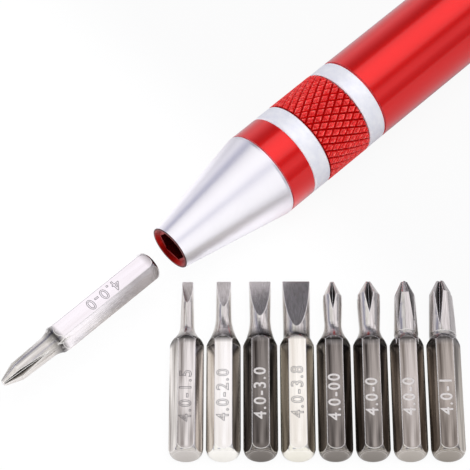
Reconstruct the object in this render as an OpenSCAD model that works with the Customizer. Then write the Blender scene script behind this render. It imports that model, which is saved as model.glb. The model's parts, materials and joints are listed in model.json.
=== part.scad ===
// Pocket screwdriver: a pen-shaped aluminium handle with a magnetic hexagon socket in its nose,
// a bit magazine that draws out of the tail, a pocket clip and a set of hexagon bits.
// Millimetres. The socket's mouth is at the origin, +X runs along the handle to its tail, +Z is up.

/* [Handle] */
// Outside diameter of the barrel, the bands and the tail
body_d = 13; // [12.6:0.1:14]
// Wall of the barrel
barrel_wall = 1; // [0.9:0.05:1.1]
// Chamfer on the outer edge of each turned piece
edge = 0.15; // [0.05:0.05:0.3]
// Width of the groove beside each bright piece
seam_w = 0.2; // [0.1:0.05:0.4]
// Depth of the groove beside each bright piece
seam_h = 0.3; // [0.1:0.05:0.4]

/* [Nose] */
// Diameter of the nose at its mouth
nose_tip_d = 6.6; // [6.5:0.1:7.2]
// Length of the tapered nose
nose_l = 17.2; // [16.6:0.1:22]
// Straight land at the nose's wide end
nose_land_l = 0.35; // [0.1:0.05:1]
// Outside diameter of the socket tube
socket_d = 6; // [5.8:0.05:6.2]
// Thickness of the socket's rim over the nose's mouth
rim_l = 0.1; // [0.1:0.05:0.4]
// Depth of the dish in the socket's mouth
dish_h = 0.46; // [0.1:0.02:0.6]
// Half angle of the cone from the dish to the hexagon
lead_angle = 85; // [70:1:88]
// Depth of the socket from its mouth to the magnet
socket_depth = 12; // [9:0.5:12.5]
// Across-flats play of a bit in the socket
socket_play = 0.1; // [0.06:0.02:0.16]
// Length of the magnet
magnet_l = 3; // [2:0.5:3.5]

/* [Grip] */
// Length of the plain band behind the nose
band_l = 4.4; // [3:0.1:8]
// Length of each bright ring
ring_l = 2.9; // [2:0.1:5]
// Length of the knurled sleeve
grip_l = 7.9; // [6:0.1:14]
// Diamonds round the knurl
knurl_count = 34; // [28:2:40]
// Diamonds along the knurl
knurl_rows = 4; // [3:1:6]
// Depth of the knurl's grooves
knurl_depth = 0.34; // [0.2:0.02:0.5]
// Height of the knurl above the barrel
knurl_proud = 0.04; // [0:0.02:0.2]
// Width of each diamond's top
knurl_top_w = 0.8; // [0.3:0.05:0.9]
// Depth of the dip in each diamond's top
knurl_dip = 0.2; // [0.02:0.02:0.3]
// Depth of the groove at each end of the knurl
knurl_end_h = 0.6; // [0.55:0.05:0.8]
// Wall of the bands, rings and sleeve round the core
band_wall = 2; // [1.8:0.1:2.2]
// Length of the core inside the barrel
core_tail_l = 10; // [6:0.5:14]
// Length of the socket tube held in the core
core_seat_l = 3; // [2:0.5:3]

/* [Magazine] */
// Room in the barrel ahead of the magazine
mag_room = 0.4; // [0.2:0.1:20]
// Bit places along the magazine
mag_layers = 3; // [2:1:3]
// Wall between two bits that lie side by side
mag_web = 0.8; // [0.7:0.05:0.85]
// Thickness of each divider
mag_wall = 0.85; // [0.7:0.05:0.9]
// Diameter of the stub that the tail cap turns on
stub_d = 4.6; // [3.5:0.1:5.5]
// Length of the stub
stub_l = 4.5; // [3:0.5:6]

/* [Tail] */
// Length of the clip collar
collar_l = 7; // [6.5:0.1:9]
// Length of the lap between collar and barrel
lap_l = 3; // [2:0.1:3.2]
// Wall left on the barrel under the collar
lap_wall = 0.5; // [0.4:0.05:0.6]
// Length of the tail cap behind the collar
cap_l = 12; // [9:0.5:18]
// Height of the tail cap's domed end
dome_h = 1.6; // [0.8:0.1:2.5]
// Diameter of the flat on the tail's end
tail_flat_d = 8; // [6:0.2:9]
// Thickness of the seal ring
seal_t = 1; // [0.8:0.05:1.2]

/* [Clip] */
// Length of the clip from its foot to its tip
clip_l = 39; // [30:0.5:50]
// Width of the clip at its foot
clip_w = 4.6; // [3.6:0.1:6]
// Width of the clip at its tip
clip_tip_w = 3.6; // [3:0.1:4.4]
// Thickness of the clip's strip
clip_t = 0.8; // [0.5:0.05:1]
// Gap under the clip's arm
clip_gap = 2; // [1.5:0.1:3]

/* [Bits] */
// Hexagon across flats
bit_af = 4; // [3.9:0.05:4.05]
// Length of a bit
bit_l = 26.5; // [25:0.1:26.8]
// Length of a bit's hexagon
shank_l = 17.2; // [15:0.1:18]
// Length of a hexagon's rounded end
bit_end = 1.4; // [1:0.1:3]
// Diameter of the flat on a hexagon's end
bit_end_d = 3; // [1.6:0.1:3.2]
// Half angle of the cone that cuts a hexagon's shoulder
shoulder_angle = 28; // [20:1:45]
// Length of the groove at a thick neck
neck_groove_l = 0.5; // [0.3:0.05:0.8]
// Depth of the groove at a thick neck
neck_groove_h = 0.12; // [0.06:0.02:0.2]
// Angle of a slotted blade's grind
grind_angle = 11; // [9:0.5:14]
// Half angle of a cross tip's flutes
flute_angle = 40; // [35:1:45]

/* [Layout] */
// Gap from the loose bit to the socket's mouth
bit_gap = 3.5; // [2:0.1:12]
// Distance between bits laid in the row
row_pitch = 4.95; // [4.8:0.05:8]
// Place of the row's middle along the handle
row_x = 3.2; // [-4:0.2:20]
// Distance of the row's middle from the handle's axis
row_y = 25.2; // [25.2:0.1:60]
// Turn of the row's bits from the handle's axis
row_turn = 46.3; // [30:0.1:90]

/* [Hidden] */
$fn = 64;
// Clearances: a push fit on a radius, a piece that turns or slides, and a bit in its place
push_gap = 0.02;
slide_gap = 0.1;
pocket_play = 0.2;
bit_end_play = 0.5;
// Overshoot of a cut past a face
eps = 0.5;

// Blade width and tip thickness of each slotted bit, its neck and the flare behind it
slot_w = [1.5, 2.0, 3.0, 3.8];
slot_t = [0.3, 0.4, 0.5, 0.6];
slot_neck_d = [1.9, 2.1, 2.8, 3.6];
slot_flare_l = [2.3, 4.0, 3.6, 0.8];
// Diameter at each cross bit's point, its blunt tip and length, and its flutes; the loose bit is last
cross_d = [2.7, 3.3, 2.8, 3.2, 2.7];
cross_tip_d = [0.6, 0.8, 0.9, 1.2, 0.9];
cross_point_l = [2.4, 2.3, 2.2, 2.1, 2.5];
cross_flute_l = [5.6, 6.4, 6.6, 6.8, 6.6];
// Neck of each cross bit, the flare behind it, and whether the neck has a groove
cross_neck_d = [2.3, 2.8, 3.3, 3.7, 3];
cross_flare_l = [2.6, 2.0, 0.6, 0.4, 1.6];
cross_grooved = [false, false, true, true, false];
// Bits in the row, and the turn of each cross bit's flutes from its flats
row_bits = 8;
cross_turn = [45, 45, 0, 30, 0];
// Steps in a rounded stretch of a profile
arc_steps = 6;

body_r = body_d / 2;
barrel_bore_d = body_d - 2 * barrel_wall;
core_d = body_d - 2 * band_wall;
bore_r = barrel_bore_d / 2;
core_r = core_d / 2;
socket_r = socket_d / 2;
nose_tip_r = nose_tip_d / 2;
hex_corner = bit_af / sqrt(3);
knurl_tip_r = body_r + knurl_proud;
knurl_root_r = knurl_tip_r - knurl_depth;
floor_z = -knurl_tip_r;

// Magazine: bits three abreast, each with one edge towards the axis
pocket_af = bit_af + pocket_play;
pocket_l = bit_l + bit_end_play;
pocket_offset = (pocket_af + mag_web) / sqrt(3);
mag_r = bore_r - 2 * slide_gap;
mag_l = mag_layers * pocket_l + (mag_layers + 1) * mag_wall;
barrel_l = core_tail_l + mag_room + mag_l + 2 * slide_gap + lap_l;

// Places along the handle, from the mouth to the tail
band_x = nose_l;
front_ring_x = band_x + band_l;
grip_x = front_ring_x + ring_l;
rear_ring_x = grip_x + grip_l;
barrel_x = rear_ring_x + ring_l;
barrel_end_x = barrel_x + barrel_l;
collar_x = barrel_end_x - lap_l;
cap_x = collar_x + collar_l;
tail_x = cap_x + cap_l;
magnet_x = socket_depth;
socket_end_x = magnet_x + magnet_l;
core_x = socket_end_x - core_seat_l;
core_end_x = barrel_x + core_tail_l;
mag_x = core_end_x + mag_room;
spigot_x = mag_x + mag_l + slide_gap;

// Tail cap spigot and its seal
spigot_r = bore_r - 2 * slide_gap;
seal_r = bore_r - slide_gap / 2 - seal_t / 2;
seal_x = barrel_end_x - lap_l / 2;

// Clip: its foot stands in the collar, and the handle lies on the barrel and the clip's lower edge
clip_foot_x = barrel_end_x + (collar_l - lap_l) / 2 - clip_t / 2;
clip_window_gap = 0.08;
clip_foot_r = bore_r + slide_gap;
clip_arm_r = body_r + clip_gap + clip_t / 2;
clip_bend_r = 0.9;
clip_dip_l = 8;
clip_curl_l = 2.6;
clip_curl_h = 0.9;
clip_corner_r = norm([clip_arm_r + clip_t / 2, clip_w / 2]);
clip_turn = acos(knurl_tip_r / clip_corner_r) + atan(clip_w / 2 / (clip_arm_r + clip_t / 2));

red = "#cf1f24";
dark_red = "#a3161a";
bright = "#d9dbe0";
steel = "#c9c6bf";

// Turns a profile of [radius, place] points about the handle's axis
module turned(points) {
    rotate([90, 0, 90]) rotate_extrude() polygon(points);
}

// A ring on the handle's axis with chamfered outer edges
module turned_ring(x, length, outer_r, inner_r) {
    turned([
        [inner_r, x],
        [outer_r - edge, x],
        [outer_r, x + edge],
        [outer_r, x + length - edge],
        [outer_r - edge, x + length],
        [inner_r, x + length]
    ]);
}

// A ring on the handle's axis with a groove turned at each end
module grooved_ring(x, length, outer_r, inner_r) {
    turned([
        [inner_r, x],
        [outer_r - seam_h, x],
        [outer_r - seam_h, x + seam_w],
        [outer_r, x + seam_w],
        [outer_r, x + length - seam_w],
        [outer_r - seam_h, x + length - seam_w],
        [outer_r - seam_h, x + length],
        [inner_r, x + length]
    ]);
}

// A hexagon bar along +Z with flats square to Y
module hex_bar(af, length) {
    cylinder(d = 2 * af / sqrt(3), h = length, $fn = 6);
}

// A hexagon bar along +X with flats up and down
module hex_along(af, x, length) {
    translate([x, 0, 0]) rotate([90, 0, 90]) hex_bar(af, length);
}

module nose_cone() {
    bore_r = socket_r + push_gap;
    seat_r = core_r + push_gap;
    color(bright) turned([
        [bore_r, rim_l],
        [nose_tip_r, rim_l],
        [body_r, nose_l - nose_land_l],
        [body_r, nose_l],
        [seat_r, nose_l],
        [seat_r, core_x],
        [bore_r, core_x]
    ]);
}

// The socket's rim covers the nose's mouth, and its tube lies in the nose; its mouth is dished
module bit_socket() {
    hole_af = bit_af + socket_play;
    lip = rim_l / 2;
    lead_r = socket_r - lip;
    dish_r = lead_r - dish_h;
    color(dark_red) difference() {
        turned([
            [0, 0],
            [nose_tip_r - lip, 0],
            [nose_tip_r, lip],
            [nose_tip_r, rim_l],
            [socket_r, rim_l],
            [socket_r, socket_end_x],
            [0, socket_end_x]
        ]);
        hex_along(hole_af, -eps, socket_end_x + 2 * eps);
        turned([[0, -eps], [lead_r + eps, -eps], [dish_r, dish_h], [0, dish_h + dish_r / tan(lead_angle)]]);
    }
}

module socket_magnet() {
    color("dimgray") turned([
        [0, magnet_x],
        [bit_af / 2 - edge, magnet_x],
        [bit_af / 2, magnet_x + edge],
        [bit_af / 2, socket_end_x],
        [0, socket_end_x]
    ]);
}

// The core holds the socket in its front, carries the bands and fills the barrel's front end
module grip_core() {
    tail_r = bore_r - push_gap;
    color("silver") turned([
        [socket_r + push_gap, core_x],
        [core_r, core_x],
        [core_r, barrel_x],
        [tail_r, barrel_x],
        [tail_r, core_end_x],
        [0, core_end_x],
        [0, socket_end_x],
        [socket_r + push_gap, socket_end_x]
    ]);
}

module front_band() {
    color(red) grooved_ring(band_x, band_l, body_r, core_r + push_gap);
}

module front_ring() {
    color(bright) turned_ring(front_ring_x, ring_l, body_r, core_r + push_gap);
}

module rear_ring() {
    color(bright) turned_ring(rear_ring_x, ring_l, body_r, core_r + push_gap);
}

// Diamond knurl: groove crossings on a grid of half steps, and between each four of them a diamond
// with a flat top that dips in its middle
module knurled_bar(x, length, rows) {
    around = 2 * knurl_count;
    along = 2 * rows;
    reach = knurl_top_w / (2 * PI * knurl_tip_r / knurl_count);
    corners = [[-1, 0], [0, 1], [1, 0], [0, -1]];
    function at(j, k, r) = let (a = 360 * k / around) [x + length * j / along, r * cos(a), r * sin(a)];
    function root(j, k) = j * knurl_count + floor(((k + around) % around) / 2);
    roots = [
        for (j = [0 : along], i = [0 : knurl_count - 1]) at(j, 2 * i + j % 2, knurl_root_r)
    ];
    tops = [
        for (j = [1 : along - 1], i = [0 : knurl_count - 1]) let (k = 2 * i + (j + 1) % 2)
            each concat(
                [for (c = corners) at(j + reach * c[0], k + reach * c[1], knurl_tip_r)],
                [at(j, k, knurl_tip_r - knurl_dip)]
            )
    ];
    diamonds = [
        for (j = [1 : along - 1], i = [0 : knurl_count - 1], c = [0 : 3]) let (
            k = 2 * i + (j + 1) % 2,
            t = len(roots) + 5 * ((j - 1) * knurl_count + i),
            d = (c + 1) % 4,
            p = root(j + corners[c][0], k + corners[c][1]),
            q = root(j + corners[d][0], k + corners[d][1])
        ) each [[p, t + d, q], [p, t + c, t + d], [t + c, t + 4, t + d]]
    ];
    ends = [
        for (i = [0 : knurl_count - 1]) let (k = 2 * i + 1) each [
            [root(0, k + 1), root(0, k - 1), root(1, k)],
            [root(along, k - 1), root(along, k + 1), root(along - 1, k)]
        ]
    ];
    front = [for (i = [0 : knurl_count - 1]) root(0, 2 * i)];
    back = [for (i = [knurl_count - 1 : -1 : 0]) root(along, 2 * i)];
    polyhedron(concat(roots, tops), concat(diamonds, ends, [front, back]));
}

// The knurl is cut off by a groove beside each ring
module grip_sleeve() {
    floor_r = body_r - knurl_end_h;
    stock_r = knurl_tip_r + eps;
    row_l = grip_l / knurl_rows;
    color(red) difference() {
        union() {
            intersection() {
                knurled_bar(grip_x - row_l / 2, grip_l + row_l, knurl_rows + 1);
                turned([
                    [0, grip_x + seam_w],
                    [stock_r, grip_x + seam_w],
                    [stock_r, rear_ring_x - seam_w],
                    [0, rear_ring_x - seam_w]
                ]);
            }
            turned([[0, grip_x], [floor_r, grip_x], [floor_r, rear_ring_x], [0, rear_ring_x]]);
        }
        turned([
            [0, grip_x - eps],
            [core_r + push_gap, grip_x - eps],
            [core_r + push_gap, rear_ring_x + eps],
            [0, rear_ring_x + eps]
        ]);
    }
}

module barrel() {
    lap_r = bore_r + lap_wall;
    color(red) turned([
        [bore_r, barrel_x],
        [body_r - seam_h, barrel_x],
        [body_r - seam_h, barrel_x + seam_w],
        [body_r, barrel_x + seam_w],
        [body_r, collar_x - seam_w],
        [body_r - seam_h, collar_x - seam_w],
        [body_r - seam_h, collar_x],
        [lap_r, collar_x],
        [lap_r, barrel_end_x],
        [bore_r, barrel_end_x]
    ]);
}

// The collar laps over the barrel's end and has a window for the clip's foot
module clip_collar() {
    lap_r = bore_r + lap_wall + push_gap;
    gap = clip_window_gap;
    color(bright) difference() {
        turned([
            [lap_r, collar_x],
            [body_r - edge, collar_x],
            [body_r, collar_x + edge],
            [body_r, cap_x - edge],
            [body_r - edge, cap_x],
            [bore_r, cap_x],
            [bore_r, barrel_end_x],
            [lap_r, barrel_end_x]
        ]);
        at_clip() translate([clip_foot_x - gap, -clip_w / 2 - gap, bore_r - eps])
            cube([clip_t + 2 * gap, clip_w + 2 * gap, body_r - bore_r + 2 * eps]);
    }
}

// Turns a clip that stands on +Z round the handle to where it rests
module at_clip() {
    rotate([180 - clip_turn, 0, 0]) children();
}

// Centre line of the clip's strip as [distance from the foot, height], from foot to tip
function clip_line() = let (
    dip_r = body_r + slide_gap + clip_t / 2,
    dip_s = clip_l - clip_curl_l
) concat(
    [[0, clip_foot_r], [0, clip_arm_r - clip_bend_r]],
    [for (i = [1 : arc_steps]) let (a = 90 * i / arc_steps)
        [clip_bend_r * (1 - cos(a)), clip_arm_r - clip_bend_r * (1 - sin(a))]],
    [for (i = [0 : 2 * arc_steps]) let (f = i / (2 * arc_steps))
        [dip_s - clip_dip_l * (1 - f), clip_arm_r - (clip_arm_r - dip_r) * (1 - cos(180 * f)) / 2]],
    [for (i = [1 : arc_steps]) let (f = i / arc_steps)
        [dip_s + clip_curl_l * f, dip_r + clip_curl_h * f * f]]
);

// Outline of a strip of one thickness along a line of points
function strip(line, thickness) = let (
    n = len(line),
    normals = [for (i = [0 : n - 1]) let (
        v = line[min(i + 1, n - 1)] - line[max(i - 1, 0)]
    ) [-v[1], v[0]] / norm(v)]
) concat(
    [for (i = [0 : n - 1]) line[i] + normals[i] * thickness / 2],
    [for (i = [n - 1 : -1 : 0]) line[i] - normals[i] * thickness / 2]
);

module pocket_clip() {
    tip_r = clip_tip_w / 2;
    color("gainsboro") at_clip() translate([clip_foot_x + clip_t / 2, 0, 0]) intersection() {
        rotate([90, 0, 0]) linear_extrude(clip_w, center = true)
            mirror([1, 0]) polygon(strip(clip_line(), clip_t));
        mirror([1, 0, 0]) linear_extrude(clip_arm_r + clip_t) union() {
            polygon([
                [-clip_t, -clip_w / 2],
                [clip_l - tip_r, -tip_r],
                [clip_l - tip_r, tip_r],
                [-clip_t, clip_w / 2]
            ]);
            translate([clip_l - tip_r, 0]) circle(r = tip_r);
        }
    }
}

// A bit's place: a trough with the hexagon's inner half as its bed, open outwards
module bit_pocket(x) {
    side = pocket_af / sqrt(3);
    half = pocket_af / 2;
    translate([x, 0, 0]) rotate([90, 0, 90]) linear_extrude(pocket_l) polygon([
        [-half, mag_r + eps],
        [-half, pocket_offset - side / 2],
        [0, pocket_offset - side],
        [half, pocket_offset - side / 2],
        [half, mag_r + eps]
    ]);
}

module bit_magazine() {
    color("#2b2b2e") difference() {
        turned([
            [0, mag_x],
            [mag_r - edge, mag_x],
            [mag_r, mag_x + edge],
            [mag_r, mag_x + mag_l],
            [stub_d / 2, mag_x + mag_l],
            [stub_d / 2, spigot_x + stub_l - edge],
            [stub_d / 2 - edge, spigot_x + stub_l],
            [0, spigot_x + stub_l]
        ]);
        for (layer = [0 : mag_layers - 1], side = [0 : 2])
            rotate([120 * side, 0, 0])
                bit_pocket(mag_x + mag_wall + layer * (pocket_l + mag_wall));
    }
}

module tail_cap() {
    groove_r = seal_r - seal_t / 2;
    groove_l = seal_t + 2 * slide_gap;
    hole_r = stub_d / 2 + slide_gap / 2;
    hole_x = spigot_x + stub_l + slide_gap;
    dome_x = tail_x - dome_h;
    flat_r = tail_flat_d / 2;
    color(bright) turned(concat(
        [
            [hole_r, spigot_x],
            [spigot_r - edge, spigot_x],
            [spigot_r, spigot_x + edge],
            [spigot_r, seal_x - groove_l / 2],
            [groove_r - slide_gap / 2, seal_x - groove_l / 2],
            [groove_r - slide_gap / 2, seal_x + groove_l / 2],
            [spigot_r, seal_x + groove_l / 2],
            [spigot_r, cap_x],
            [body_r - edge, cap_x],
            [body_r, cap_x + edge]
        ],
        [for (i = [0 : arc_steps]) let (a = 90 * i / arc_steps)
            [flat_r + (body_r - flat_r) * cos(a), dome_x + dome_h * sin(a)]],
        [[0, tail_x], [0, hole_x], [hole_r, hole_x]]
    ));
}

module tail_seal() {
    color("#1c1c1c") translate([seal_x, 0, 0]) rotate([90, 0, 90])
        rotate_extrude() translate([seal_r, 0]) circle(d = seal_t, $fn = 24);
}

// A turned blank with a hexagon shank, rear end at the origin: the hexagon's end is rounded, its
// shoulder is cut by a cone, and a flare runs down to the neck; the profile goes on through point
module bit_blank(neck_r, flare_l, grooved, point) {
    flat_r = bit_af / 2;
    outer_r = hex_corner + eps;
    end_r = bit_end_d / 2;
    arc_r = hex_corner + push_gap - end_r;
    neck_z = shank_l + flare_l;
    profile = concat(
        [[0, 0]],
        [for (i = [0 : arc_steps]) let (a = 90 * i / arc_steps)
            [end_r + arc_r * sin(a), bit_end * (1 - cos(a))]],
        [
            [outer_r, bit_end],
            [outer_r, shank_l - (outer_r - flat_r) / tan(shoulder_angle)]
        ],
        [for (i = [0 : arc_steps]) let (f = i / arc_steps)
            [neck_r + (flat_r - neck_r) * (1 - f) * (1 - f), shank_l + flare_l * f]],
        grooved ? [
            [neck_r - neck_groove_h, neck_z],
            [neck_r - neck_groove_h, neck_z + neck_groove_l],
            [neck_r, neck_z + neck_groove_l]
        ] : [],
        point,
        [[0, bit_l]]
    );
    intersection() {
        rotate_extrude() polygon(profile);
        hex_bar(bit_af, bit_l);
    }
}

module slot_bit(i) {
    blade_r = slot_w[i] / 2;
    tip_t = slot_t[i] / 2;
    color(steel) difference() {
        bit_blank(slot_neck_d[i] / 2, slot_flare_l[i], false, [
            [blade_r, bit_l - edge / 2],
            [blade_r - edge / 2, bit_l]
        ]);
        for (side = [0, 180]) rotate([0, 0, side])
            translate([0, tip_t, bit_l]) rotate([grind_angle, 0, 0])
                translate([-bit_af, 0, -bit_l / 2]) cube([2 * bit_af, bit_af, bit_l]);
    }
}

module cross_bit(i) {
    point_r = cross_d[i] / 2;
    tip_r = cross_tip_d[i] / 2;
    web = tip_r / 2;
    lean = atan((point_r - web) / cross_flute_l[i]);
    mouth = 2 * bit_af;
    color(steel) difference() {
        bit_blank(cross_neck_d[i] / 2, cross_flare_l[i], cross_grooved[i], [
            [point_r, bit_l - cross_point_l[i]],
            [tip_r, bit_l]
        ]);
        for (quarter = [0 : 3]) rotate([0, 0, 45 + cross_turn[i] + 90 * quarter])
            translate([web, 0, bit_l]) rotate([0, -lean, 0])
                translate([0, 0, -bit_l / 2]) linear_extrude(bit_l) polygon([
                    [0, 0],
                    [mouth, -mouth * tan(flute_angle)],
                    [mouth, mouth * tan(flute_angle)]
                ]);
    }
}

// In line with the socket, tip away from it and a flat up
module before_mouth() {
    translate([-bit_gap, 0, 0]) rotate([0, -90, 0]) rotate([0, 0, 90]) children();
}

// Laid on the ground in the row, tips towards the handle
module in_row(place) {
    middle = [row_x, -row_y, floor_z + bit_af / 2];
    across = (place - (row_bits - 1) / 2) * row_pitch;
    translate(middle) rotate([0, 0, row_turn]) translate([-bit_l / 2, -across, 0])
        rotate([0, 90, 0]) rotate([0, 0, 90]) children();
}

nose_cone();
bit_socket();
socket_magnet();
grip_core();
front_band();
front_ring();
grip_sleeve();
rear_ring();
barrel();
clip_collar();
pocket_clip();
bit_magazine();
tail_cap();
tail_seal();
before_mouth() cross_bit(4);  // loose_cross_bit
in_row(0) slot_bit(0);  // slot_bit_1
in_row(1) slot_bit(1);  // slot_bit_2
in_row(2) slot_bit(2);  // slot_bit_3
in_row(3) slot_bit(3);  // slot_bit_4
in_row(4) cross_bit(0);  // cross_bit_1
in_row(5) cross_bit(1);  // cross_bit_2
in_row(6) cross_bit(2);  // cross_bit_3
in_row(7) cross_bit(3);  // cross_bit_4
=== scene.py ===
import json
import math

import bpy
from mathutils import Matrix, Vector


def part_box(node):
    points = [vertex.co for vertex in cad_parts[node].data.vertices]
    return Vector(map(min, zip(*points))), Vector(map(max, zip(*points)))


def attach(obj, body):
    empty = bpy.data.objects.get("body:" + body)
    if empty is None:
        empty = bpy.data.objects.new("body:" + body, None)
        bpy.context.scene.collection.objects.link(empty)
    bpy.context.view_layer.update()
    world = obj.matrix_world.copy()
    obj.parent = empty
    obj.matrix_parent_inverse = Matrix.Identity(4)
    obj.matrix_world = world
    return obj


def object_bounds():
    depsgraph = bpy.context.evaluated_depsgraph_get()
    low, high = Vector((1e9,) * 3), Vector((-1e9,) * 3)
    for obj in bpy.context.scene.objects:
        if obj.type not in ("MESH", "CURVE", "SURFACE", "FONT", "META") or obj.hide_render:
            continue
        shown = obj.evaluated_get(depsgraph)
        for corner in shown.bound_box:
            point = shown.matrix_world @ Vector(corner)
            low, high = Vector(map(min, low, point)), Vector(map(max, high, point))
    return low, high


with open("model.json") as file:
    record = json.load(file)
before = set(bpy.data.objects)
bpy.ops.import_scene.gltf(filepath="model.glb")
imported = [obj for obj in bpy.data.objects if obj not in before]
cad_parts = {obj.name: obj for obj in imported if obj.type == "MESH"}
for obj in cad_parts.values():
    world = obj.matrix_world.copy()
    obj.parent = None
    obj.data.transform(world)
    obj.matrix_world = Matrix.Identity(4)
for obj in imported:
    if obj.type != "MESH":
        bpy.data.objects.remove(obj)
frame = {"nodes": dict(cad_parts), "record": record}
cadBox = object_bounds()
nodes = frame["nodes"]
mm = 0.001
print("frame:", len(nodes), "nodes")

# Camera: the photograph's own viewpoint, worked out from the rings on the handle
photoView = {
    "azimuth": -43.7,       # degrees, 0 looks along +Y
    "elevation": 58.8,
    "distance": 325 * mm,
    "aim": Vector((7.9, -4.6, 0)) * mm,     # the point in the middle of the picture
    "focalPixels": 2375,
    "imagePixels": 470,
    "sensor": 36,           # millimetres
    "clip": (0.01, 20),     # metres
}


def placeCamera(s):
    az = math.radians(s["azimuth"])
    el = math.radians(s["elevation"])
    back = Vector((math.sin(az) * math.cos(el), -math.cos(az) * math.cos(el), math.sin(el)))
    data = bpy.data.cameras.new("photoCamera")
    data.sensor_width = s["sensor"]
    data.lens = s["sensor"] * s["focalPixels"] / s["imagePixels"]
    data.clip_start, data.clip_end = s["clip"]
    camera = bpy.data.objects.new("photoCamera", data)
    bpy.context.scene.collection.objects.link(camera)
    camera.location = s["aim"] + back * s["distance"]
    camera.rotation_euler = back.to_track_quat("Z", "Y").to_euler()
    bpy.context.scene.camera = camera


placeCamera(photoView)
print("camera placed")


# One function turns an sRGB hex colour to linear
def toLinear(hexColour):
    parts = [int(hexColour[i:i + 2], 16) / 255 for i in (1, 3, 5)]
    return [p / 12.92 if p <= 0.04045 else ((p + 0.055) / 1.055) ** 2.4 for p in parts] + [1]


# One function adds a node: settings are its properties, inputs are values or sockets to link
def addNode(tree, kind, settings=None, inputs=None):
    node = tree.nodes.new(kind)
    for name, value in (settings or {}).items():
        setattr(node, name, value)
    for name, value in (inputs or {}).items():
        if isinstance(value, bpy.types.NodeSocket):
            tree.links.new(value, node.inputs[name])
        else:
            node.inputs[name].default_value = value
    return node


def newMaterial(name):
    material = bpy.data.materials.new(name)
    material.use_nodes = True
    tree = material.node_tree
    tree.nodes.clear()
    output = addNode(tree, "ShaderNodeOutputMaterial")
    return material, tree, output


# Stretched noise in object space: sizes are in millimetres along X, Y and Z
def grain(tree, sizeMm, place=None):
    if place is None:
        place = addNode(tree, "ShaderNodeTexCoord").outputs["Object"]
    scale = [1 / (s * mm) for s in sizeMm]
    mapped = addNode(tree, "ShaderNodeMapping", None, {"Vector": place, "Scale": scale})
    return addNode(tree, "ShaderNodeTexNoise", None,
                   {"Vector": mapped.outputs["Vector"], "Scale": 1.0, "Detail": 2}).outputs["Fac"]


# How far out from the handle's axis a point lies: 0 at the first radius, 1 at the second
def standingOut(tree, fromMm, toMm):
    place = addNode(tree, "ShaderNodeTexCoord").outputs["Object"]
    across = addNode(tree, "ShaderNodeVectorMath", {"operation": "MULTIPLY"}, {0: place, 1: (0, 1, 1)})
    radius = addNode(tree, "ShaderNodeVectorMath", {"operation": "LENGTH"}, {0: across.outputs["Vector"]})
    return addNode(tree, "ShaderNodeMapRange", None, {
        "Value": radius.outputs["Value"], "From Min": fromMm * mm, "From Max": toMm * mm}).outputs["Result"]


hardLayer = {"rough": 0.1, "ior": 1.45}     # the clear layer that anodising leaves on top


# A metal with fine lines left by its tool: they vary its gloss and its surface a little. coat is how
# much of the hard layer it has. layers are tones that gather in the hollows of a turned surface or on
# its crests, between two radii, in specks where specksMm is given
def toolMarkedMetal(name, s):
    material, tree, output = newMaterial(name)
    lines = grain(tree, s["linesMm"])
    cloud = grain(tree, s["cloudMm"])
    tone = addNode(tree, "ShaderNodeMix", {"data_type": "RGBA"}, {
        "Factor": cloud, "A": toLinear(s["dark"]), "B": toLinear(s["light"])}).outputs["Result"]
    for layer in s.get("layers", []):
        share = standingOut(tree, layer["fromMm"], layer["toMm"])
        if "specksMm" in layer:
            bare, full = layer["specksNoise"]
            specks = addNode(tree, "ShaderNodeMapRange", None, {
                "Value": grain(tree, (layer["specksMm"],) * 3), "From Min": bare, "From Max": full})
            share = addNode(tree, "ShaderNodeMath", {"operation": "MULTIPLY"},
                            {0: share, 1: specks.outputs["Result"]}).outputs[0]
        tone = addNode(tree, "ShaderNodeMix", {"data_type": "RGBA"}, {
            "Factor": share, "A": tone, "B": toLinear(layer["tone"])}).outputs["Result"]
    low, high = s["rough"]
    rough = addNode(tree, "ShaderNodeMapRange", None, {"Value": lines, "To Min": low, "To Max": high})
    bump = addNode(tree, "ShaderNodeBump", None,
                   {"Height": lines, "Strength": s["lineStrength"], "Distance": s["lineDepthMm"] * mm})
    shader = addNode(tree, "ShaderNodeBsdfPrincipled", None, {
        "Base Color": tone,
        "Metallic": s["metallic"],
        "Roughness": rough.outputs["Result"],
        "Normal": bump.outputs["Normal"],
        "Coat Weight": s["coat"],
        "Coat Roughness": hardLayer["rough"],
        "Coat IOR": hardLayer["ior"],
    })
    tree.links.new(shader.outputs["BSDF"], output.inputs["Surface"])
    return material


# Aluminium, turned bright: near white, with lathe lines round the axis
turnedAluminium = toolMarkedMetal("turnedAluminium", {
    "light": "#fbf9fd", "dark": "#f4f1f7", "metallic": 1.0, "rough": (0.31, 0.37), "coat": 0.0,
    "linesMm": (0.3, 8, 8), "cloudMm": (5, 3, 3), "lineStrength": 0.03, "lineDepthMm": 0.004,
})
# Aluminium, turned fine and blasted: white with faint blue-grey clouds, no sharp reflection
satinAluminium = toolMarkedMetal("satinAluminium", {
    "light": "#ffffff", "dark": "#e4e6f0", "metallic": 0.6, "rough": (0.5, 0.6), "coat": 0.0,
    "linesMm": (0.08, 4, 4), "cloudMm": (0.9, 1.3, 1.3), "lineStrength": 0.3, "lineDepthMm": 0.004,
})
# Aluminium, turned, etched and anodised red: the etched metal under the dye scatters part of the
# light, so it stays red between its streaks; the clear hard layer whitens it where the eye skims it
redAnodised = toolMarkedMetal("redAnodisedAluminium", {
    "light": "#f91714", "dark": "#f01310", "metallic": 0.8, "rough": (0.28, 0.36), "coat": 1.0,
    "linesMm": (0.14, 7, 7), "cloudMm": (9, 4, 4), "lineStrength": 0.2, "lineDepthMm": 0.004,
})
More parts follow.
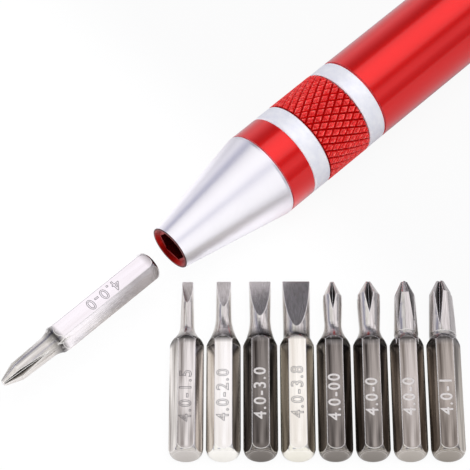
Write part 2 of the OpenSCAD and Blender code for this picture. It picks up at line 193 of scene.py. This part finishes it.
# The same, knurled: it is darker red towards the roots of the grooves and in the dip of each diamond,
# and pale specks on the crests are painted highlights
redKnurled = toolMarkedMetal("redAnodisedKnurl", {
    "light": "#f51c1a", "dark": "#dc1311", "metallic": 0.6, "rough": (0.3, 0.5), "coat": 0.6,
    "layers": [
        # darker red towards the roots of the grooves and in the dips of the diamonds
        {"tone": "#cc1010", "fromMm": 6.46, "toMm": 6.32},
        # pale specks on the crests: painted highlights
        {"tone": "#ff8a80", "fromMm": 6.45, "toMm": 6.54, "specksMm": 0.26, "specksNoise": (0.46, 0.64)},
    ],
    "linesMm": (0.25, 0.25, 0.25), "cloudMm": (0.6, 0.6, 0.6), "lineStrength": 0.6, "lineDepthMm": 0.03,
})
# The same in the socket, painted darker as painted shade, and darkest at its rim with more painted shade
deepRed = toolMarkedMetal("deepRedAnodisedAluminium", {
    "light": "#ac130c", "dark": "#740a06", "metallic": 1.0, "rough": (0.3, 0.4), "coat": 0.0,
    # painted shade at the rim of the socket
    "layers": [{"tone": "#4a120f", "fromMm": 2.95, "toMm": 3.2}],
    "linesMm": (0.3, 0.3, 0.3), "cloudMm": (0.8, 0.8, 0.8), "lineStrength": 0.2, "lineDepthMm": 0.01,
})
# Steel where a number is struck into it: dull, and dark on a bright flat or pale on a dark one
darkStrike = toolMarkedMetal("struckSteel", {
    "light": "#8d898d", "dark": "#67646a", "metallic": 1.0, "rough": (0.35, 0.5), "coat": 0.0,
    "linesMm": (0.1, 0.1, 0.1), "cloudMm": (1, 1, 1), "lineStrength": 0.3, "lineDepthMm": 0.01,
})
paleStrike = toolMarkedMetal("struckBrightSteel", {
    "light": "#fbf8f5", "dark": "#d9d4cf", "metallic": 1.0, "rough": (0.45, 0.6), "coat": 0.0,
    "linesMm": (0.1, 0.1, 0.1), "cloudMm": (1, 1, 1), "lineStrength": 0.3, "lineDepthMm": 0.01,
})
# Spring steel strip, rolled and chrome plated: cool mirror
chromedStrip = toolMarkedMetal("chromedSpringSteel", {
    "light": "#e3e5e8", "dark": "#d2d5d9", "metallic": 1.0, "rough": (0.07, 0.13), "coat": 0.0,
    "linesMm": (6, 0.2, 0.2), "cloudMm": (6, 4, 4), "lineStrength": 0.15, "lineDepthMm": 0.003,
})
# Magnet, nickel plated and ground flat
nickelMagnet = toolMarkedMetal("nickelPlatedMagnet", {
    "light": "#9b9a98", "dark": "#7f7e7c", "metallic": 1.0, "rough": (0.25, 0.35), "coat": 0.0,
    "linesMm": (0.3, 0.3, 0.3), "cloudMm": (1, 1, 1), "lineStrength": 0.2, "lineDepthMm": 0.005,
})


# A moulded polymer: dark, with the fine grain of its mould
def mouldedPolymer(name, s):
    material, tree, output = newMaterial(name)
    grit = grain(tree, (s["gritMm"],) * 3)
    tone = addNode(tree, "ShaderNodeMix", {"data_type": "RGBA"}, {
        "Factor": grit, "A": toLinear(s["dark"]), "B": toLinear(s["light"])}).outputs["Result"]
    low, high = s["rough"]
    rough = addNode(tree, "ShaderNodeMapRange", None, {"Value": grit, "To Min": low, "To Max": high})
    bump = addNode(tree, "ShaderNodeBump", None,
                   {"Height": grit, "Strength": s["gritStrength"], "Distance": s["gritDepthMm"] * mm})
    shader = addNode(tree, "ShaderNodeBsdfPrincipled", None, {
        "Base Color": tone,
        "Roughness": rough.outputs["Result"],
        "IOR": s["ior"],
        "Normal": bump.outputs["Normal"],
    })
    tree.links.new(shader.outputs["BSDF"], output.inputs["Surface"])
    return material


# Nylon, moulded with a fine spark-eroded grain
mouldedNylon = mouldedPolymer("mouldedNylon", {
    "light": "#38383c", "dark": "#2a2a2d", "rough": (0.42, 0.55), "ior": 1.53,
    "gritMm": 0.12, "gritStrength": 0.4, "gritDepthMm": 0.01,
})
# Nitrile rubber, moulded: dull black
nitrileRubber = mouldedPolymer("nitrileRubber", {
    "light": "#232323", "dark": "#161616", "rough": (0.6, 0.75), "ior": 1.52,
    "gritMm": 0.1, "gritStrength": 0.4, "gritDepthMm": 0.006,
})

finishes = {
    "bright_aluminium": turnedAluminium,
    "satin_aluminium": satinAluminium,
    "red_anodised": redAnodised,
    "deep_red_anodised": deepRed,
    "clip_steel": chromedStrip,
    "magnet": nickelMagnet,
    "magazine_plastic": mouldedNylon,
    "seal_rubber": nitrileRubber,
}


def finish(nodeName, material):
    item = nodes[nodeName]
    item.data.materials.clear()
    item.data.materials.append(material)


for part in frame["record"]["subparts"]:
    if part["material_slot"] in finishes:
        finish(part["node"], finishes[part["material_slot"]])
finish("grip_sleeve", redKnurled)
# The bits mirror the white studio, not the red of the handle
for nodeName in ("front_band", "barrel"):
    nodes[nodeName].visible_glossy = False
print("finishes:", len(finishes))

# The bits, by body: node, the size struck into the upper flat (hexagon across flats, then the tip),
# the tones of the shank's plating, between which its painted reflection streaks run, and how far painted
# shade darkens it at the shoulder and at the rear end
bits = {
    "loose_bit": ("loose_cross_bit", "4.0-0", "#fbf6f8", "#f3edee", 0.95, 0.8),
    "slot_bit_1": ("slot_bit_1", "4.0-1.5", "#e8e3de", "#857e78", 0.95, 0.25),
    "slot_bit_2": ("slot_bit_2", "4.0-2.0", "#faf8f3", "#e6e2da", 0.95, 0.1),
    "slot_bit_3": ("slot_bit_3", "4.0-3.0", "#857f79", "#35302c", 1.0, 0.3),
    "slot_bit_4": ("slot_bit_4", "4.0-3.8", "#f8f5ea", "#e2ddd0", 0.9, 0.1),
    "cross_bit_1": ("cross_bit_1", "4.0-00", "#938c85", "#3f3a36", 1.0, 0.3),
    "cross_bit_2": ("cross_bit_2", "4.0-0", "#a59e96", "#3d3834", 1.0, 0.3),
    "cross_bit_3": ("cross_bit_3", "4.0-0", "#c9c2ba", "#7c746b", 0.9, 0.2),
    "cross_bit_4": ("cross_bit_4", "4.0-1", "#b0a89e", "#5f574f", 0.9, 0.2),
}
bitSizes = {
    "length": 26.5 * mm,
    "shank": 17.2 * mm,
    "looseTurn": 180,           # degrees round Z
    "rowTurn": 46.3,
    # Struck numbers
    "markMiddle": 8.6 * mm,     # from the rear end
    "markHeight": 2.3 * mm,
    "markSpacing": 1.2,
    "markStroke": 0.04 * mm,
    "markCurveSteps": 3,
    "brightFlat": 0.6,          # a flat brighter than this gets dark numbers
    # Shank: painted reflection streaks between the plating tones, and drawn lines
    "rough": (0.06, 0.14),
    "streakMm": (14, 0.9, 0.9),
    "streakNoise": (0.38, 0.6),
    "lineMm": (9, 0.16, 0.16),  # along the bit, drawn as coarse as it needs to show
    "lineStrength": 0.3,
    "lineDepthMm": 0.006,
    # Rear end, which has no streaks and is darkened with painted shade
    "plainEndMm": 1.4,
    "plainStreak": 0.6,
    "endTone": "#57493f",
    # Shoulder, darkened in patches with painted shade
    "shoulder": "#14100d",
    "shoulderMm": (16.5, 17.4, 18.9),
    "shoulderPatchMm": 0.9,
    "shoulderPatchNoise": (0.22, 0.42),
    # Tip, ground and then plated; painted brighter than the shank as a highlight, with lines of painted
    # dark reflection
    "tipBlend": 1 * mm,
    "tipLight": "#faf6f2",
    "tipDark": "#aaa39c",
    "tipRough": 0.23,
    # Painted shade in the flutes and at the neck, from ambient occlusion
    "hollowShade": "#2b2622",
    "hollowShadeReach": 1.2 * mm,
    "hollowShadeRange": (0.92, 0.5),
    "hollowShadeSamples": 8,
    # Painted highlights on the edges, and the rounding of the edges
    "edgeHighlight": "#fbf8f4",
    "edgeRoundMm": 0.16,
    "highlightBend": (1.0, 0.96),    # cosine between the face and the rounded edge
    "edgeRoundSamples": 6,
}


def bitFrame(body, nodeName, s):
    low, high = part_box(nodeName)
    turn = math.radians(s["looseTurn"] if body == "loose_bit" else s["rowTurn"])
    along = Vector((math.cos(turn), math.sin(turn), 0))
    rear = (low + high) / 2 - along * s["length"] / 2
    return turn, along, rear, high.z


# Chrome vanadium steel, nickel plated: a warm grey mirror with painted reflection streaks and drawn lines
# along the shank, painted shade at the rear end and in patches at the shoulder, a tip painted brighter as a
# highlight with lines of painted dark reflection, painted shade in its flutes and hollows, and painted
# highlights on its edges
def platedBit(nodeName, light, dark, shoulderShadeShare, endShadeShare, turn, rear, s):
    material, tree, output = newMaterial("nickelPlatedSteel_" + nodeName)
    place = addNode(tree, "ShaderNodeTexCoord").outputs["Object"]
    away = addNode(tree, "ShaderNodeVectorMath", {"operation": "SUBTRACT"}, {0: place, 1: rear})
    own = addNode(tree, "ShaderNodeVectorRotate", {"rotation_type": "Z_AXIS"},
                  {"Vector": away.outputs["Vector"], "Angle": -turn}).outputs["Vector"]
    lines = grain(tree, s["lineMm"], place=own)
    reach = addNode(tree, "ShaderNodeSeparateXYZ", None, {"Vector": own}).outputs["X"]
    # painted reflection streaks along the shank, between its dark and light plating tones
    dull, bright = s["streakNoise"]
    reflectionStreaks = addNode(tree, "ShaderNodeMapRange", None, {
        "Value": grain(tree, s["streakMm"], place=own), "From Min": dull, "From Max": bright})
    plainEnd = s["plainEndMm"] * mm
    pastEnd = addNode(tree, "ShaderNodeMapRange", None, {
        "Value": reach, "From Min": plainEnd / 2, "From Max": plainEnd})
    streaks = addNode(tree, "ShaderNodeMix", {"data_type": "FLOAT"}, {
        "Factor": pastEnd.outputs["Result"], "A": s["plainStreak"], "B": reflectionStreaks.outputs["Result"]})
    tip = addNode(tree, "ShaderNodeMapRange", {"interpolation_type": "SMOOTHSTEP"}, {
        "Value": reach, "From Min": s["shank"] - s["tipBlend"], "From Max": s["shank"] + s["tipBlend"]})
    shankTone = addNode(tree, "ShaderNodeMix", {"data_type": "RGBA"}, {
        "Factor": streaks.outputs["Result"], "A": toLinear(dark), "B": toLinear(light)})
    # the tip painted bright as a highlight, with lines of painted dark reflection
    tipTone = addNode(tree, "ShaderNodeMix", {"data_type": "RGBA"}, {
        "Factor": lines, "A": toLinear(s["tipDark"]), "B": toLinear(s["tipLight"])})
    plating = addNode(tree, "ShaderNodeMix", {"data_type": "RGBA"}, {
        "Factor": tip.outputs["Result"],
        "A": shankTone.outputs["Result"], "B": tipTone.outputs["Result"]})
    # Painted shade at the rear end, then in patches at the shoulder
    nearEnd = addNode(tree, "ShaderNodeMapRange", None, {
        "Value": reach, "From Min": plainEnd, "From Max": 0.0, "To Max": endShadeShare})
    ended = addNode(tree, "ShaderNodeMix", {"data_type": "RGBA"}, {
        "Factor": nearEnd.outputs["Result"], "A": plating.outputs["Result"], "B": toLinear(s["endTone"])})
    start, middle, end = [v * mm for v in s["shoulderMm"]]
    rise = addNode(tree, "ShaderNodeMapRange", None, {
        "Value": reach, "From Min": start, "From Max": middle, "To Max": shoulderShadeShare})
    fall = addNode(tree, "ShaderNodeMapRange", None, {"Value": reach, "From Min": end, "From Max": middle})
    ring = addNode(tree, "ShaderNodeMath", {"operation": "MULTIPLY"},
                   {0: rise.outputs["Result"], 1: fall.outputs["Result"]})
    bare, full = s["shoulderPatchNoise"]
    patches = addNode(tree, "ShaderNodeMapRange", None, {
        "Value": grain(tree, (s["shoulderPatchMm"],) * 3), "From Min": bare, "From Max": full})
    patchy = addNode(tree, "ShaderNodeMath", {"operation": "MULTIPLY"},
                     {0: ring.outputs[0], 1: patches.outputs["Result"]})
    shoulderShaded = addNode(tree, "ShaderNodeMix", {"data_type": "RGBA"}, {
        "Factor": patchy.outputs[0], "A": ended.outputs["Result"], "B": toLinear(s["shoulder"])})
    # Painted shade in the hollows, from ambient occlusion
    hollow = addNode(tree, "ShaderNodeAmbientOcclusion",
                     {"samples": s["hollowShadeSamples"], "only_local": True}, {"Distance": s["hollowShadeReach"]})
    unshadedAO, shadedAO = s["hollowShadeRange"]
    hollowShade = addNode(tree, "ShaderNodeMapRange", None, {
        "Value": hollow.outputs["AO"], "From Min": unshadedAO, "From Max": shadedAO})
    hollowShaded = addNode(tree, "ShaderNodeMix", {"data_type": "RGBA"}, {
        "Factor": hollowShade.outputs["Result"], "A": shoulderShaded.outputs["Result"], "B": toLinear(s["hollowShade"])})
    # Painted highlights on the edges: where a rounded normal leaves the face's own
    rounded = addNode(tree, "ShaderNodeBevel", {"samples": s["edgeRoundSamples"]},
                      {"Radius": s["edgeRoundMm"] * mm})
    face = addNode(tree, "ShaderNodeNewGeometry").outputs["Normal"]
    facing = addNode(tree, "ShaderNodeVectorMath", {"operation": "DOT_PRODUCT"},
                     {0: rounded.outputs["Normal"], 1: face})
    flat, edge = s["highlightBend"]
    edgeHighlightShare = addNode(tree, "ShaderNodeMapRange", None, {
        "Value": facing.outputs["Value"], "From Min": flat, "From Max": edge})
    tone = addNode(tree, "ShaderNodeMix", {"data_type": "RGBA"}, {
        "Factor": edgeHighlightShare.outputs["Result"], "A": hollowShaded.outputs["Result"], "B": toLinear(s["edgeHighlight"])})
    bump = addNode(tree, "ShaderNodeBump", None, {
        "Height": lines, "Strength": s["lineStrength"], "Distance": s["lineDepthMm"] * mm,
        "Normal": rounded.outputs["Normal"]})
    low, high = s["rough"]
    drawnRough = addNode(tree, "ShaderNodeMapRange", None, {"Value": lines, "To Min": low, "To Max": high})
    rough = addNode(tree, "ShaderNodeMix", {"data_type": "FLOAT"}, {
        "Factor": tip.outputs["Result"], "A": drawnRough.outputs["Result"], "B": s["tipRough"]})
    shader = addNode(tree, "ShaderNodeBsdfPrincipled", None, {
        "Base Color": tone.outputs["Result"],
        "Metallic": 1.0,
        "Roughness": rough.outputs["Result"],
        "Normal": bump.outputs["Normal"],
    })
    tree.links.new(shader.outputs["BSDF"], output.inputs["Surface"])
    return material


def strikeMark(body, nodeName, text, material, turn, place, s):
    data = bpy.data.curves.new(nodeName + "_mark", "FONT")
    data.body = text
    data.size = s["markHeight"]
    data.space_character = s["markSpacing"]
    data.align_x = "CENTER"
    data.align_y = "CENTER"
    data.fill_mode = "NONE" if material == darkStrike else "FRONT"
    data.bevel_depth = s["markStroke"]
    data.bevel_resolution = 0
    data.resolution_u = s["markCurveSteps"]
    mark = bpy.data.objects.new(nodeName + "_mark", data)
    bpy.context.scene.collection.objects.link(mark)
    mark.location = place
    mark.rotation_euler = (0, 0, turn)
    data.materials.append(material)
    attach(mark, body)


for body, (nodeName, text, light, dark, shoulderShadeShare, endShadeShare) in bits.items():
    turn, along, rear, top = bitFrame(body, nodeName, bitSizes)
    finish(nodeName, platedBit(nodeName, light, dark, shoulderShadeShare, endShadeShare, turn, rear, bitSizes))
    place = rear + along * bitSizes["markMiddle"]
    place.z = top
    strike = darkStrike if toLinear(light)[1] > bitSizes["brightFlat"] else paleStrike
    strikeMark(body, nodeName, text, strike, turn, place, bitSizes)
print("bits:", len(bits))

# Thread on the tail cap's spigot: one ridge wound round it
capThread = {
    "start": 133.0 * mm,
    "end": 136.8 * mm,
    "root": 5.27 * mm,
    "crest": 5.45 * mm,
    "pitch": 0.75 * mm,
    "stepsATurn": 48,
    "footShare": 0.42,      # half the ridge's foot, as a share of the pitch
    "crestShare": 0.15,     # its crest, as a share of its foot
    "runOut": 8,            # at each end it fades over one part in this many
}


def cutThread(s):
    turns = (s["end"] - s["start"]) / s["pitch"]
    steps = int(turns * s["stepsATurn"])
    foot = s["pitch"] * s["footShare"]
    flat = foot * s["crestShare"]
    verts = []
    for i in range(steps + 1):
        a = 2 * math.pi * i / s["stepsATurn"]
        x = s["start"] + s["pitch"] * i / s["stepsATurn"]
        fade = min(1, s["runOut"] * i / steps, s["runOut"] * (steps - i) / steps)
        crest = s["root"] + (s["crest"] - s["root"]) * fade
        for dx, r in ((-foot, s["root"]), (-flat, crest), (flat, crest), (foot, s["root"])):
            verts.append((x + dx, r * math.cos(a), r * math.sin(a)))
    faces = []
    for i in range(steps):
        for k in range(4):
            n = (k + 1) % 4
            faces.append((4 * i + k, 4 * i + n, 4 * i + 4 + n, 4 * i + 4 + k))
    faces.append((3, 2, 1, 0))
    faces.append(tuple(4 * steps + k for k in range(4)))
    mesh = bpy.data.meshes.new("cap_thread")
    mesh.from_pydata(verts, [], faces)
    mesh.materials.append(turnedAluminium)
    thread = bpy.data.objects.new("cap_thread", mesh)
    bpy.context.scene.collection.objects.link(thread)
    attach(thread, "tail_cap")


cutThread(capThread)
print("thread cut")

# Studio: a card on the table under a white sky with grey gaps, and one broad soft lamp
studio = {
    "card": 2.4,                # width in metres
    "cardTone": "#f7f7f7",
    "shadeTone": "#b2b2b6",     # the card beside the handle, as the handle shows it
    "shadeFrom": (12 * mm, 28 * mm),    # behind the mouth, it sets in between these
    "lift": 0.93,               # how far the card shows as plain white to the eye
    "gleam": 0.1,               # and in reflections
    "clear": (0.04, 0.14),      # the horizon gives way to the sky between these heights
    "ends": (0.15, 0.38),       # the sky changes along the handle's axis between these
    "horizon": ("#f9f9fb", "#d8d8dd"),  # as the nose shows it, and as the handle does
    "lamp": 4.0,                # watts
    "lampSize": 0.7,
    "lampPlace": Vector((0.05, -0.15, 0.9)),
}


def buildFloor(s):
    low = cadBox[0]
    half = s["card"] / 2
    mesh = bpy.data.meshes.new("card")
    corners = [(-half, -half), (half, -half), (half, half), (-half, half)]
    mesh.from_pydata([(x, y, low.z) for x, y in corners], [], [(0, 1, 2, 3)])
    card = bpy.data.objects.new("card", mesh)
    bpy.context.scene.collection.objects.link(card)
    material, tree, output = newMaterial("matteCard")
    path = addNode(tree, "ShaderNodeLightPath")
    mirrored = addNode(tree, "ShaderNodeMath", {"operation": "ADD"}, {
        0: path.outputs["Is Glossy Ray"], 1: path.outputs["Is Transmission Ray"]})
    place = addNode(tree, "ShaderNodeTexCoord").outputs["Object"]
    reach = addNode(tree, "ShaderNodeSeparateXYZ", None, {"Vector": place}).outputs["X"]
    shade = addNode(tree, "ShaderNodeMapRange", {"interpolation_type": "SMOOTHSTEP"}, {
        "Value": reach, "From Min": s["shadeFrom"][0], "From Max": s["shadeFrom"][1]}).outputs["Result"]
    gleam = addNode(tree, "ShaderNodeMath", {"operation": "MULTIPLY"}, {
        0: mirrored.outputs[0], 1: s["gleam"]})
    share = addNode(tree, "ShaderNodeMath", {"operation": "MULTIPLY_ADD"}, {
        0: path.outputs["Is Camera Ray"], 1: s["lift"], 2: gleam.outputs[0]})
    tone = addNode(tree, "ShaderNodeMix", {"data_type": "RGBA"}, {
        "Factor": shade, "A": toLinear(s["cardTone"]), "B": toLinear(s["shadeTone"])})
    matte = addNode(tree, "ShaderNodeBsdfDiffuse", None, {"Color": tone.outputs["Result"]})
    white = addNode(tree, "ShaderNodeEmission", None, {"Color": (1, 1, 1, 1), "Strength": 1.0})
    mix = addNode(tree, "ShaderNodeMixShader", None,
                  {"Fac": share.outputs[0], 1: matte.outputs[0], 2: white.outputs[0]})
    tree.links.new(mix.outputs[0], output.inputs["Surface"])
    mesh.materials.append(material)


# The sky by the angle round the handle's axis, as degrees, colour and level: 0 is overhead, positive
# towards -Y. noseSky is what the nose shows, tailSky what the handle shows
noseSky = [
    (-90, "#fbfafc", 1.0), (-81, "#f6f5f9", 1.0), (-71, "#e4e4ec", 1.0), (-62, "#a2a4bc", 1.0),
    (-57, "#8b8da9", 1.0), (-51, "#8b8da9", 1.0), (-45, "#ffffff", 1.0), (-10, "#ffffff", 1.1),
    (14, "#ffffff", 1.1), (19, "#c6c7d8", 1.0), (27, "#c6c7d8", 1.0), (33, "#ffffff", 1.12),
    (90, "#ffffff", 1.12),
]
tailSky = [
    (-90, "#e6e5ec", 1.0), (-76, "#d6d5de", 1.0), (-64, "#b4b4c0", 1.0), (-54, "#7c7c88", 1.0),
    (-46, "#5c5c66", 1.0), (-35, "#52525c", 1.0), (-28, "#fbf8ff", 1.06), (-10, "#fbf8ff", 1.12),
    (12, "#fbf8ff", 1.1), (23, "#f6f4fa", 1.0), (31, "#62626c", 1.0), (38, "#62626c", 1.0),
    (46, "#c8c8d0", 1.0), (58, "#d6d6de", 1.0), (68, "#8a8a96", 1.0), (80, "#5c5c66", 1.0),
    (90, "#5c5c66", 1.0),
]


def buildSky(s):
    world = bpy.data.worlds.new("studio")
    bpy.context.scene.world = world
    world.use_nodes = True
    tree = world.node_tree
    tree.nodes.clear()
    way = addNode(tree, "ShaderNodeTexCoord").outputs["Generated"]
    parts = addNode(tree, "ShaderNodeSeparateXYZ", None, {"Vector": way})
    flip = addNode(tree, "ShaderNodeMath", {"operation": "MULTIPLY"}, {0: parts.outputs["Y"], 1: -1.0})
    angle = addNode(tree, "ShaderNodeMath", {"operation": "ARCTAN2"},
                    {0: flip.outputs[0], 1: parts.outputs["Z"]})
    share = addNode(tree, "ShaderNodeMapRange", None, {
        "Value": angle.outputs[0], "From Min": -math.pi / 2, "From Max": math.pi / 2,
    }).outputs["Result"]
    ends = addNode(tree, "ShaderNodeMapRange", {"interpolation_type": "SMOOTHSTEP"}, {
        "Value": parts.outputs["X"], "From Min": s["ends"][0], "From Max": s["ends"][1],
    })
    height = addNode(tree, "ShaderNodeMapRange", {"interpolation_type": "SMOOTHSTEP"}, {
        "Value": parts.outputs["Z"], "From Min": s["clear"][0], "From Max": s["clear"][1],
    })
    skies = []
    for bands in (noseSky, tailSky):
        ramp = addNode(tree, "ShaderNodeValToRGB", None, {"Fac": share})
        stops = ramp.color_ramp.elements
        while len(stops) < len(bands):
            stops.new(0.5)
        for stop, (degrees, colour, level) in zip(stops, bands):
            stop.position = degrees / 180 + 0.5
            stop.color = [c * level for c in toLinear(colour)[:3]] + [1]
        skies.append(ramp.outputs["Color"])
    sky = addNode(tree, "ShaderNodeMix", {"data_type": "RGBA"}, {
        "Factor": ends.outputs["Result"], "A": skies[0], "B": skies[1]})
    noseEdge, tailEdge = s["horizon"]
    edge = addNode(tree, "ShaderNodeMix", {"data_type": "RGBA"}, {
        "Factor": ends.outputs["Result"], "A": toLinear(noseEdge), "B": toLinear(tailEdge)})
    tone = addNode(tree, "ShaderNodeMix", {"data_type": "RGBA"}, {
        "Factor": height.outputs["Result"], "A": edge.outputs["Result"], "B": sky.outputs["Result"]})
    light = addNode(tree, "ShaderNodeBackground", None, {"Color": tone.outputs["Result"], "Strength": 1.0})
    output = addNode(tree, "ShaderNodeOutputWorld")
    tree.links.new(light.outputs[0], output.inputs["Surface"])


# The lamp lights what is matt; metal shows the sky alone
def hangLamp(s):
    data = bpy.data.lights.new("softLamp", "AREA")
    data.shape = "SQUARE"
    data.size = s["lampSize"]
    data.energy = s["lamp"]
    lamp = bpy.data.objects.new("softLamp", data)
    bpy.context.scene.collection.objects.link(lamp)
    lamp.location = s["lampPlace"]
    lamp.rotation_euler = s["lampPlace"].to_track_quat("Z", "Y").to_euler()
    lamp.visible_glossy = False


buildFloor(studio)
buildSky(studio)
hangLamp(studio)
bpy.context.scene.view_settings.view_transform = "Standard"
print("studio lit")
